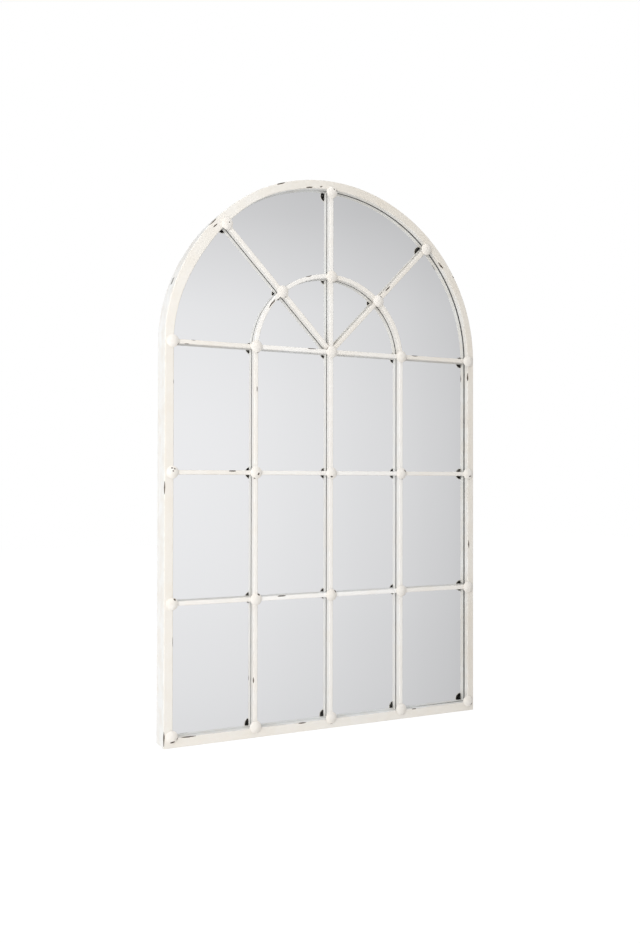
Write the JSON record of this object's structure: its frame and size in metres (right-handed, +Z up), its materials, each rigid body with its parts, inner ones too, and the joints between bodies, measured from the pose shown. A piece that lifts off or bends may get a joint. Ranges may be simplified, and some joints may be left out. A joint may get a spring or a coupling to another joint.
{
  "type": "arched window mirror",
  "caption": "Tall arched wall mirror in a deep folded-metal window frame, with a grid of channel bars, a sunburst fan at the top and a domed cap over every crossing.",
  "frame": {"origin": "on the wall plane and the centre line, level with the two hanging slots, which is the spring line of the arch", "axes": "+X to the viewer's right, +Y into the wall, +Z up; the front faces -Y"},
  "size_m": [0.8, 0.0648, 1.278],
  "materials": {
    "cream_paint": "satin cream paint, worn and chipped at the edges",
    "mirror_sheet": "silvered glass",
    "board": "plain fibreboard",
    "foam": "black foam strip",
    "bare_steel": "bare steel"
  },
  "bodies": {
    "root": {"frame_arch": "cream_paint", "frame_jamb_left": "cream_paint", "frame_jamb_right": "cream_paint", "frame_bottom_rail": "cream_paint", "centre_bar": "cream_paint", "upright_left": "cream_paint", "upright_right": "cream_paint", "spoke_left": "cream_paint", "spoke_right": "cream_paint", "fan_arc_outer_left": "cream_paint", "fan_arc_inner_left": "cream_paint", "fan_arc_inner_right": "cream_paint", "fan_arc_outer_right": "cream_paint", "crossbar_spring_outer_left": "cream_paint", "crossbar_spring_inner_left": "cream_paint", "crossbar_spring_inner_right": "cream_paint", "crossbar_spring_outer_right": "cream_paint", "crossbar_middle_outer_left": "cream_paint", "crossbar_middle_inner_left": "cream_paint", "crossbar_middle_inner_right": "cream_paint", "crossbar_middle_outer_right": "cream_paint", "crossbar_lower_outer_left": "cream_paint", "crossbar_lower_inner_left": "cream_paint", "crossbar_lower_inner_right": "cream_paint", "crossbar_lower_outer_right": "cream_paint", "cap_spring_far_left": "cream_paint", "cap_spring_left": "cream_paint", "cap_spring_centre": "cream_paint", "cap_spring_right": "cream_paint", "cap_spring_far_right": "cream_paint", "cap_middle_far_left": "cream_paint", "cap_middle_left": "cream_paint", "cap_middle_centre": "cream_paint", "cap_middle_right": "cream_paint", "cap_middle_far_right": "cream_paint", "cap_lower_far_left": "cream_paint", "cap_lower_left": "cream_paint", "cap_lower_centre": "cream_paint", "cap_lower_right": "cream_paint", "cap_lower_far_right": "cream_paint", "cap_bottom_far_left": "cream_paint", "cap_bottom_left": "cream_paint", "cap_bottom_centre": "cream_paint", "cap_bottom_right": "cream_paint", "cap_bottom_far_right": "cream_paint", "cap_arch_left": "cream_paint", "cap_fan_left": "cream_paint", "cap_arch_top": "cream_paint", "cap_fan_top": "cream_paint", "cap_arch_right": "cream_paint", "cap_fan_right": "cream_paint", "mirror_glass": "mirror_sheet", "backing_board": "board", "cushion_arch": "foam", "cushion_left": "foam", "cushion_right": "foam", "cushion_bottom": "foam", "hanger_left": "bare_steel", "hanger_right": "bare_steel"}
  },
  "joints": []
}
